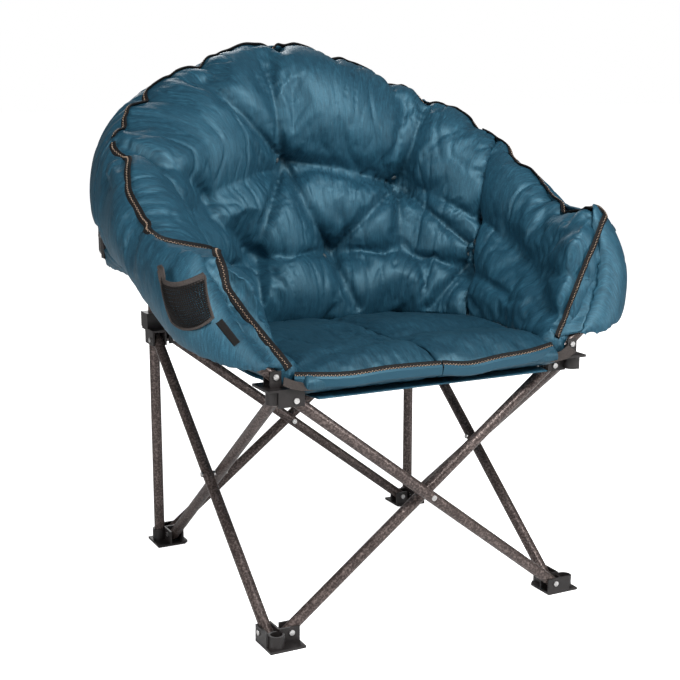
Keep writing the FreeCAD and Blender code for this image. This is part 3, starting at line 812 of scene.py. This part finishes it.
for side, sign in SIDES:
    seat = soft_copy(f"seat_cushion_{side}", f"padded_seat_{side}", SEAT_VOXEL)
    points = points_of(seat)
    points[:, 1] += SEAT_TUCK * soften(rise(points[:, 1], *SEAT_REAR))
    across = sign * points[:, 0]
    points[:, 0] += sign * SEAT_SPREAD * soften(rise(across, *SEAT_SIDE))
    points[:, 0] -= sign * PAD_DRAW * bell(across, PAD_DRAW_WIDTH)
    crown = PAD_CROWN * bell(across, CROWN_WIDTH) * soften(rise(points[:, 2], *PAD_TOP))
    points[:, 2] += crown * soften(rise(points[:, 1], *SEAT_FRONT))
    move_points(seat, points)
    fold_gap = sew(seat, [trace(seat, line) for line in SEAT_FOLDS[side]], depth=0.004, width=0.012)
    points = points_of(seat)
    held = (points[:, 2] < PAD_FLOOR) | (points[:, 1] < PAD_LIP)
    held |= (sign * points[:, 0] < PAD_HOLD) | (fold_gap < PAD_HOLD)
    stuff(seat, held, pressure=1.6, growth=0.025, reach=0.006)
    # The seat pads wear the darker copy of the satin, which is painted shade.
    finish_soft(seat, f"seat_cushion_{side}", f"seat_{side}", seat_satin_painted_shade,
                flat=True, wrinkles=0.0014)
    sling = soft_copy(f"seat_sling_{side}", f"seat_cloth_{side}", SLING_VOXEL, SLING_THICKEN)
    points = points_of(sling)
    points[:, 0] -= sign * SLING_DRAW * bell(points[:, 0], SLING_DRAW_WIDTH)
    move_points(sling, points)
    finish_soft(sling, f"seat_sling_{side}", f"seat_{side}", satin, flat=True, smooth=0)


# Outer panels of the cover: lightly lined cloth from the rim down over the tubes. Their
# top edges are sewn to the crest of the stuffed cushions, where the zip runs.
SKIN_VOXEL = 0.005
CREST_REACH = 0.045
CREST_BLUR = 1.8
CREST_SPAN = 8
SKIN_THICKEN = 0.003
SKIN_EASE = 10
EDGE_TUCK = 0.011
EDGE_WIDTH = 0.022
PANELS = (
    ("back_skin", "outer_back", "rear_left_slider"),
    ("arm_skin_left", "outer_arm_left", "arm_left"),
    ("arm_skin_right", "outer_arm_right", "arm_right"),
)


def find_crest():
    """The highest line of the stuffed cushions beside the rim."""
    walls = [bpy.data.objects[name] for name in ("padded_back", "padded_arm_left", "padded_arm_right")]
    cloud = np.concatenate([points_of(wall) for wall in walls])
    line = gather_rim(RIM_LINE)
    for k, spot in enumerate(line):
        near = cloud[np.linalg.norm(cloud - spot, axis=1) < CREST_REACH]
        if len(near):
            line[k] = near[near[:, 2].argmax()]
    kernel = np.exp(-(np.arange(-CREST_SPAN, CREST_SPAN + 1) / CREST_BLUR) ** 2 / 2)
    kernel /= kernel.sum()
    longer = np.concatenate((line[:1].repeat(CREST_SPAN, 0), line, line[-1:].repeat(CREST_SPAN, 0)))
    return np.column_stack([np.convolve(longer[:, axis], kernel, "valid") for axis in range(3)])


crest = find_crest()
crest_shift = crest - gather_rim(RIM_LINE)


def meet_crest(points):
    """Moves points near the rim to where the stuffing has lifted it."""
    moved = points.copy()
    base = gather_rim(RIM_LINE)
    for first in range(0, len(points), BATCH):
        batch = slice(first, first + BATCH)
        gaps = np.linalg.norm(points[batch][:, None] - base[None], axis=2)
        weight = bell(gaps.min(1), RIM_REACH)
        moved[batch] += crest_shift[gaps.argmin(1)] * weight[:, None]
    return moved


for node, name, body in PANELS:
    panel = soft_copy(node, name, SKIN_VOXEL, SKIN_THICKEN, ease=SKIN_EASE)
    points = meet_crest(gather_rim(points_of(panel)))
    near = gap_to(points, crest)
    inward = np.column_stack((-points[:, 0], BUCKET_Y - points[:, 1], np.zeros(len(points))))
    inward /= np.linalg.norm(inward, axis=1, keepdims=True)
    move_points(panel, points + inward * (EDGE_TUCK * bell(near, EDGE_WIDTH))[:, None])
    finish_soft(panel, node, body, satin, wrinkles=0.0010)


# The zip: black woven tape sewn round the rim and down the arm fronts, with a tan
# moulded coil along its middle.
def zip_finish():
    tape = Finish("zip_tape", Specular_IOR_Level=0.2)
    yarn = tape.noise(tape.place((900, 900, 900)), 1.0, 2.0)
    return tape.wear(
        Base_Color=tape.ramp(yarn, (0.3, (0.0035, 0.003, 0.003)), (0.7, (0.010, 0.009, 0.0088))),
        Roughness=0.6 + yarn * 0.2,
        Normal=tape.bump(yarn, 0.0004, 0.5),
    )


def coil_finish():
    coil = Finish("zip_coil", Specular_IOR_Level=0.6)
    cloud = coil.noise(coil.place(), 160.0)
    colour = coil.ramp(cloud, (0.3, (0.22, 0.140, 0.092)), (0.7, (0.42, 0.31, 0.225)))
    return coil.wear(Base_Color=colour, Roughness=0.32 + cloud * 0.2)


zip_black = zip_finish()
coil_tan = coil_finish()
TAPE_WIDTH = 0.0135
TAPE_THICK = 0.0030
TOOTH_PITCH = 0.0030
TOOTH_SIZE = (0.0018, 0.0018, 0.0014)
TOOTH_BEVEL = 0.0006
TOOTH_SKEW = 0.0006
TOOTH_LIFT = 0.0005
CREASE_ANGLE = math.radians(40)


def mesh_piece(name, points, faces, material):
    mesh = bpy.data.meshes.new(name)
    mesh.from_pydata([tuple(map(float, point)) for point in points], [], faces)
    mesh.validate()
    piece = bpy.data.objects.new(name, mesh)
    scene.collection.objects.link(piece)
    open_mesh(piece)
    bpy.ops.mesh.normals_make_consistent(inside=False)
    bpy.ops.object.mode_set(mode="OBJECT")
    bpy.ops.object.shade_smooth_by_angle(angle=CREASE_ANGLE)
    mesh.materials.append(material)
    return piece


def grid_faces(rows, columns):
    """The faces of a sheet whose points lie in rows."""
    corners = [k * columns + j for k in range(rows - 1) for j in range(columns - 1)]
    return [(a, a + 1, a + columns + 1, a + columns) for a in corners]


def along(line, ups):
    """Tangent, side and up directions at each point of a line."""
    tangent = np.gradient(line, axis=0)
    tangent /= np.linalg.norm(tangent, axis=1, keepdims=True)
    up = ups - tangent * (ups * tangent).sum(1, keepdims=True)
    up /= np.linalg.norm(up, axis=1, keepdims=True)
    return tangent, np.cross(tangent, up), up


def facing_rows(line, way):
    """One direction, repeated for each point of a line."""
    return np.tile(np.array(way), (len(line), 1))


def band(name, line, ups, width, thick, material):
    """A flat band of cloth or webbing along a line, rounded at its edges."""
    tangent, side, up = along(line, ups)
    half = width / 2
    lip = thick / 2
    flat = half - lip
    profile = ((-half, 0), (-flat, lip), (flat, lip), (half, 0), (flat, -lip), (-flat, -lip))
    points = [spot + s * a + u * b for spot, s, u in zip(line, side, up) for a, b in profile]
    count = len(profile)
    faces = []
    for k in range(len(line) - 1):
        for j in range(count):
            n = (j + 1) % count
            faces.append((k * count + j, k * count + n, (k + 1) * count + n, (k + 1) * count + j))
    faces.append(tuple(range(count))[::-1])
    faces.append(tuple((len(line) - 1) * count + j for j in range(count)))
    return mesh_piece(name, points, faces, material)


deselect()
bpy.ops.mesh.primitive_cube_add(size=1)
tooth = bpy.context.object
tooth.scale = TOOTH_SIZE
bpy.ops.object.transform_apply(location=False, rotation=False, scale=True)
open_mesh(tooth)
bpy.ops.mesh.bevel(offset=TOOTH_BEVEL, segments=1)
bpy.ops.object.mode_set(mode="OBJECT")
tooth_points = points_of(tooth)
tooth_faces = [tuple(face.vertices) for face in tooth.data.polygons]
bpy.data.objects.remove(tooth)


def coil(name, line, ups, lift):
    """Zip teeth, one shape copied along a line."""
    steps = distances(line)
    count = int(steps[-1] / TOOTH_PITCH)
    wanted = (np.arange(count) + 0.5) * TOOTH_PITCH
    spots = np.column_stack([np.interp(wanted, steps, line[:, axis]) for axis in range(3)])
    above = np.column_stack([np.interp(wanted, steps, ups[:, axis]) for axis in range(3)])
    tangent, side, up = along(spots, above)
    points = []
    faces = []
    for k in range(count):
        skew = side[k] * (TOOTH_SKEW if k % 2 else -TOOTH_SKEW)
        base = len(points)
        centre = spots[k] + up[k] * lift + skew
        points.extend(centre + tangent[k] * a + side[k] * b + up[k] * c for a, b, c in tooth_points)
        faces.extend(tuple(base + corner for corner in face) for face in tooth_faces)
    return mesh_piece(name, points, faces, coil_tan)


def lay_zip(name, node, body, line, ups):
    """A zip of tape and teeth that stands for a CAD node, or is sewn beside one."""
    tape = band(name, line, ups, TAPE_WIDTH, TAPE_THICK, zip_black)
    teeth = coil(f"{name}_coil", line, ups, TAPE_THICK / 2 + TOOTH_LIFT)
    if node:
        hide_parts(node)
    for piece in (tape, teeth):
        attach(piece, body)


ZIP_OUT = 0.55
ZIP_UP = np.array((0, 0, 0.83))


def rim_ups(line):
    """Up and outward from the bucket: the way a zip on the rim faces."""
    ups = np.column_stack((line[:, 0], line[:, 1] - BUCKET_Y, np.zeros(len(line))))
    ups /= np.linalg.norm(ups, axis=1, keepdims=True)
    return ups * ZIP_OUT + ZIP_UP


ZIP_LIFT = 0.0020
ZIP_JOIN = 3.0
BACK_ZIP_COUNT = 300
ARM_ZIP_COUNT = 200
ARM_ZIP_FROM = {"left": 4.6, "right": 4.85}
ZIP_TURN = 0.2
FRONT_FACING = (0.35, -0.90, 0.25)
TRACE_SHARES = (0.0, 0.34, 0.67)
DRAPE_FROM = 0.035
DRAPE_REACH = 0.06
DRAPE_BLUR = 6
GUSSET_LAP = 1.08
GUSSET_ROWS = 40
GUSSET_COLUMNS = 7
GUSSET_REACH = (0.046, 0.014)
GUSSET_SWELL = 0.004
GUSSET_THICK = 0.003
ARM_ZIP = {
    "left": ((196, 248), (206, 250), (217, 255), (223, 268), (226, 288), (246, 316), (269, 344), (281, 358),
             (293, 374)),
    "right": ((604, 214), (595, 240), (577, 283), (562, 322), (553, 345)),
}


def crest_line(first, last):
    span = (RIM_STEPS > min(first, last)) & (RIM_STEPS < max(first, last))
    return crest[span] if first < last else crest[span][::-1]


def trace_front(pieces, line):
    """The nearest points to the camera of several pieces under a line of pixels."""
    found = []
    for start, end in zip(line, line[1:]):
        for share in TRACE_SHARES:
            pixel = (start[0] + (end[0] - start[0]) * share, start[1] + (end[1] - start[1]) * share)
            hits = [piece.ray_cast(Vector(CAMERA_AT), sight(pixel)) for piece in pieces]
            hits = [tuple(hit[1]) for hit in hits if hit[0]]
            if hits:
                found.append(min(hits, key=lambda place: math.dist(place, CAMERA_AT)))
    return np.array(found)


def lay_on(line, ups, pieces):
    """Drapes a line on the outermost cloth under it, and blurs the steps that leaves."""
    laid = line.copy()
    for k, (spot, up) in enumerate(zip(line, ups)):
        start = Vector(spot + DRAPE_FROM * up)
        hits = [piece.ray_cast(start, -Vector(up), distance=DRAPE_REACH) for piece in pieces]
        hits = [hit[1] for hit in hits if hit[0]]
        if hits:
            laid[k] = np.array(min(hits, key=lambda place: (place - start).length)) + up * ZIP_LIFT
    for turn in range(DRAPE_BLUR):
        laid[1:-1] = 0.5 * laid[1:-1] + 0.25 * (laid[2:] + laid[:-2])
    return laid, ups


wall = [bpy.data.objects[name] for name in ("padded_back", "outer_back")]
line = between(crest_line(-ZIP_JOIN, ZIP_JOIN)[::3], BACK_ZIP_COUNT)
lay_zip("zip_back", "rim_zip_back", "rear_left_slider", *lay_on(line, rim_ups(line), wall))
for side, sign in SIDES:
    arm = bpy.data.objects[f"padded_arm_{side}"]
    panel = bpy.data.objects[f"outer_arm_{side}"]
    top = crest_line(sign * ZIP_JOIN, sign * ARM_ZIP_FROM[side])[::4]
    low = trace_front((arm, panel), ARM_ZIP[side])
    line = between(np.concatenate((top, low)), ARM_ZIP_COUNT)
    gusset = []
    for spot in between(low, GUSSET_ROWS):
        beside = Vector(spot) + Vector((sign * GUSSET_REACH[0], GUSSET_REACH[1], 0))
        hit, place, normal, face = panel.closest_point_on_mesh(beside)
        edge = np.array(place)
        swell = np.array(normal) * GUSSET_SWELL
        for t in np.linspace(0, GUSSET_LAP, GUSSET_COLUMNS):
            gusset.append(spot + (edge - spot) * t + swell * math.sin(math.pi * min(t, 1)))
    strip = mesh_piece(f"arm_gusset_{side}", gusset, grid_faces(GUSSET_ROWS, GUSSET_COLUMNS), satin)
    apply_modifier(strip, "SOLIDIFY", thickness=GUSSET_THICK)
    mark_grain(strip, False)
    bpy.ops.object.shade_smooth()
    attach(strip, f"arm_{side}")
    facing = np.array((sign * FRONT_FACING[0], *FRONT_FACING[1:]))
    turn_from = len(top) / (len(top) + len(low)) - ZIP_TURN / 2
    share = soften(rise(np.arange(ARM_ZIP_COUNT) / ARM_ZIP_COUNT, turn_from, ZIP_TURN))[:, None]
    ups = rim_ups(line) * (1 - share) + facing * share
    ups /= np.linalg.norm(ups, axis=1, keepdims=True)
    lay_zip(f"zip_{side}", f"rim_zip_{side}", f"arm_{side}", *lay_on(line, ups, (arm, panel, strip)))


# The seat's front edge: the zip runs on across it, in two lengths that meet at the middle
# seam. It is sewn over a hem of the cover cloth, folded double.
FRONT_EDGE = {
    "left": (
        (-0.240, -0.337, 0.431),
        (-0.219, -0.348, 0.431),
        (-0.17, -0.361, 0.429),
        (-0.09, -0.364, 0.432),
        (-0.001, -0.364, 0.430),
    ),
    "right": (
        (0.001, -0.364, 0.430),
        (0.05, -0.363, 0.424),
        (0.11, -0.362, 0.429),
        (0.17, -0.360, 0.432),
        (0.222, -0.347, 0.436),
    ),
}
EDGE_COUNT = 60
EDGE_FACING = (0, -0.85, 0.53)
HEM_FACING = (0, -1.0, -0.1)
HEM_DROP = (0, 0.001, 0.009)
HEM_WIDTH = 0.018
HEM_THICK = 0.006
for side, edge in FRONT_EDGE.items():
    line = between(edge, EDGE_COUNT)
    lay_zip(f"zip_seat_{side}", None, f"seat_{side}", line, facing_rows(line, EDGE_FACING))
    drop = line - np.array(HEM_DROP)
    hem = band(f"seat_hem_{side}", drop, facing_rows(drop, HEM_FACING), HEM_WIDTH, HEM_THICK, satin)
    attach(hem, f"seat_{side}")


# Cup holder on the left arm: a pocket of open black net with a bound mouth, sewn to the
# outer panel so that it stands a little open.
POCKET_MOUTH = ((161, 272), (204, 277))
POCKET_FLOOR = ((174, 329), (213, 326))
POCKET_OPEN = 0.030
POCKET_BELLY = 0.024
POCKET_ROUND = 2.4
POCKET_DROP = 0.012
POCKET_FLAP = (0.012, -0.75, 0.15)
POCKET_LIFT = 0.003
POCKET_WIDE = 0.100
POCKET_TALL = 0.074
POCKET_CLEAR = 0.08
NET_PITCH = 0.0034
NET_WIRE = 0.0017
panel = bpy.data.objects["outer_arm_left"]
mouth_ends = trace_front((panel,), POCKET_MOUTH + POCKET_MOUTH[1:])[[0, -1]]
floor_ends = trace_front((panel,), POCKET_FLOOR + POCKET_FLOOR[1:])[[0, -1]]
pocket_out = np.cross(mouth_ends[1] - mouth_ends[0], np.array((0, 0, 1)))
pocket_out /= np.linalg.norm(pocket_out)
if pocket_out[1] > 0:
    pocket_out = -pocket_out


def pocket_point(share, level):
    """A point of the pocket: share runs from -1 to 1 across it, level from 0 to 1 up it."""
    t = (share + 1) / 2
    low = floor_ends[0] * (1 - t) + floor_ends[1] * t
    high = mouth_ends[0] * (1 - t) + mouth_ends[1] * t
    start = Vector(low * (1 - level) + high * level + POCKET_CLEAR * pocket_out)
    hit, place, normal, face = panel.ray_cast(start, -Vector(pocket_out))
    sewn = np.array(place) + POCKET_LIFT * np.array(normal)
    open_by = POCKET_OPEN * level + 2 * POCKET_BELLY * level * (1 - level)
    out = open_by * (1 - abs(share) ** POCKET_ROUND)
    drop = POCKET_DROP * (1 - level) * share ** 2 - POCKET_DROP * level ** 3 * (1 - share ** 2)
    tall, middle, wide = POCKET_FLAP
    flap = tall * level ** 4 * math.exp(-((share - middle) / wide) ** 2)
    return sewn + pocket_out * out + np.array((0, 0, drop + flap))


columns = int(POCKET_WIDE / NET_PITCH)
rows = int(POCKET_TALL / NET_PITCH)
points = []
for k in range(rows + 1):
    for j in range(columns + 1):
        shift = 0.5 if k % 2 and 0 < j < columns else 0.0
        points.append(pocket_point(2 * (j + shift) / columns - 1, k / rows))
net = mesh_piece("cup_net", points, grid_faces(rows + 1, columns + 1), zip_black)
apply_modifier(net, "WIREFRAME", thickness=NET_WIRE, use_boundary=True)
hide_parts("cup_holder")
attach(net, "arm_left")


def webbing_finish():
    web = Finish("brown_webbing")
    ribs = web.noise(web.place((700, 700, 700)), 1.0, 2.0)
    return web.wear(
        Base_Color=web.ramp(ribs, (0.3, (0.014, 0.011, 0.010)), (0.7, (0.050, 0.038, 0.033))),
        Roughness=0.65 + ribs * 0.2,
        Normal=web.bump(ribs, 0.0005, 0.6),
    )


webbing = webbing_finish()
BINDING_WIDTH = 0.012
BINDING_THICK = 0.0026
BINDING_LIFT = 0.0006
EDGING_WIDTH = 0.005
EDGING_THICK = 0.002
EDGING_LIFT = 0.0008
mouth = np.array([pocket_point(share, 1.0) for share in np.linspace(-1, 1, 60)]) + pocket_out * BINDING_LIFT
binding = band("cup_binding", mouth, facing_rows(mouth, pocket_out), BINDING_WIDTH, BINDING_THICK, webbing)
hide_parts("cup_holder_binding")
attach(binding, "arm_left")
outline = [pocket_point(-1, level) for level in np.linspace(1, 0, 16)]
outline += [pocket_point(share, 0) for share in np.linspace(-0.95, 0.95, 24)]
outline += [pocket_point(1, level) for level in np.linspace(0, 1, 16)]
outline = np.array(outline) + pocket_out * EDGING_LIFT
edging = band("cup_edging", outline, facing_rows(outline, pocket_out), EDGING_WIDTH, EDGING_THICK, webbing)
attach(edging, "arm_left")


# A bare folded tab of black webbing, sewn aslant on the front of the left arm, below the
# cup holder. It lies flat on the outer panel.
TAB_ENDS = ((219, 321), (237, 344))
TAB_STEP = 4
TAB_COUNT = 12
TAB_FACING = Vector((-0.45, -0.88, 0.12)).normalized()
TAB_LIFT = 0.003
TAB_WIDTH = 0.012
TAB_THICK = 0.003
tab_line = trace(panel, TAB_ENDS, TAB_STEP)
tab_line = between([tab_line[0], tab_line[len(tab_line) // 2], tab_line[-1]], TAB_COUNT)
tab_line += np.array(TAB_FACING) * TAB_LIFT
tab = band("left_tab", tab_line, facing_rows(tab_line, TAB_FACING), TAB_WIDTH, TAB_THICK, zip_black)
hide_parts("arm_tab")
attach(tab, "arm_left")


# Sleeves of the cover cloth, folded round both side rails and sewn closed below, where
# the cloth hangs a little slack and ripples.
SLEEVE_RUN = (0.082, 0.222)
SLEEVE_RADIUS = 0.0125
SLEEVE_DROP = 0.030
SLEEVE_PINCH = 0.55
SLEEVE_THICK = 0.0016
RAIL_AT = (0.350, 0.561)
for side, sign in SIDES:
    deselect()
    bpy.ops.mesh.primitive_cylinder_add(vertices=28, radius=1, depth=1, end_fill_type="NOTHING")
    sleeve = bpy.context.object
    sleeve.name = f"rail_sleeve_{side}"
    open_mesh(sleeve)
    bpy.ops.mesh.subdivide(number_cuts=10)
    bpy.ops.object.mode_set(mode="OBJECT")
    points = points_of(sleeve)
    turn = np.arctan2(points[:, 1], points[:, 0])
    run = points[:, 2] + 0.5
    ripple = 0.0012 * np.sin(9 * turn + 14 * run) + 0.0010 * np.sin(23 * run + 2 * turn)
    wide = SLEEVE_RADIUS + ripple
    low = np.where(np.sin(turn) < 0, SLEEVE_DROP, SLEEVE_RADIUS) + ripple
    taper = np.where(np.sin(turn) < 0, 1 - SLEEVE_PINCH * np.sin(turn) ** 2, 1)
    points = np.column_stack((
        sign * RAIL_AT[0] + wide * taper * np.cos(turn),
        SLEEVE_RUN[0] + run * (SLEEVE_RUN[1] - SLEEVE_RUN[0]),
        RAIL_AT[1] + low * np.sin(turn),
    ))
    move_points(sleeve, points)
    apply_modifier(sleeve, "SOLIDIFY", thickness=SLEEVE_THICK, offset=1)
    open_mesh(sleeve)
    bpy.ops.mesh.normals_make_consistent(inside=False)
    bpy.ops.object.mode_set(mode="OBJECT")
    bpy.ops.object.shade_smooth()
    mark_grain(sleeve, True)
    sleeve.data.materials.append(satin)
    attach(sleeve, f"rear_{side}_post")


# Straps of brown webbing that tie the seat's front corners to the lugs of the front
# hubs, one on each side, sewn flat under the seat's edge.
STRAP = ((0.190, -0.345, 0.418), (0.220, -0.350, 0.416), (0.246, -0.350, 0.420), (0.262, -0.346, 0.427))
STRAP_COUNT = 24
STRAP_FACING = (0, -0.6, 0.8)
STRAP_WIDTH = 0.018
STRAP_THICK = 0.0024
for side, sign in SIDES:
    line = between([(sign * x, y, z) for x, y, z in STRAP], STRAP_COUNT)
    facing = facing_rows(line, STRAP_FACING)
    strap = band(f"corner_strap_{side}", line, facing, STRAP_WIDTH, STRAP_THICK, webbing)
    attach(strap, f"front_{side}_hub")


# The soft pieces that gather as the frame folds, each listed with the way it gathers and the corner it is
# held at: the back across the chair, the arms and the seat from front to rear. Each of them gets a mesh of
# its own.
BACK_HELD = (-0.272, 0, 0)
ARM_HELD = (0, -0.333, 0)
SEAT_HELD = (0, 0.211, 0)
BACK_SET = ("padded_back", "outer_back", "zip_back", "zip_back_coil", "covered_buttons")
ARM_SET = ("padded_arm_{}", "outer_arm_{}", "zip_{}", "zip_{}_coil", "arm_gusset_{}")
SEAT_SET = ("padded_seat_{}", "seat_cloth_{}", "zip_seat_{}", "zip_seat_{}_coil", "seat_hem_{}")
POCKET_SET = ("cup_net", "cup_binding", "cup_edging", "left_tab")
GATHERS = [(BACK_SET, (1, 0, 0), BACK_HELD), (POCKET_SET, (0, 1, 0), ARM_HELD)]
for side in ("left", "right"):
    GATHERS.append(([name.format(side) for name in ARM_SET], (0, 1, 0), ARM_HELD))
    GATHERS.append(([name.format(side) for name in SEAT_SET], (0, 1, 0), SEAT_HELD))
for names, way, held in GATHERS:
    for name in names:
        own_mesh(bpy.data.objects[name])
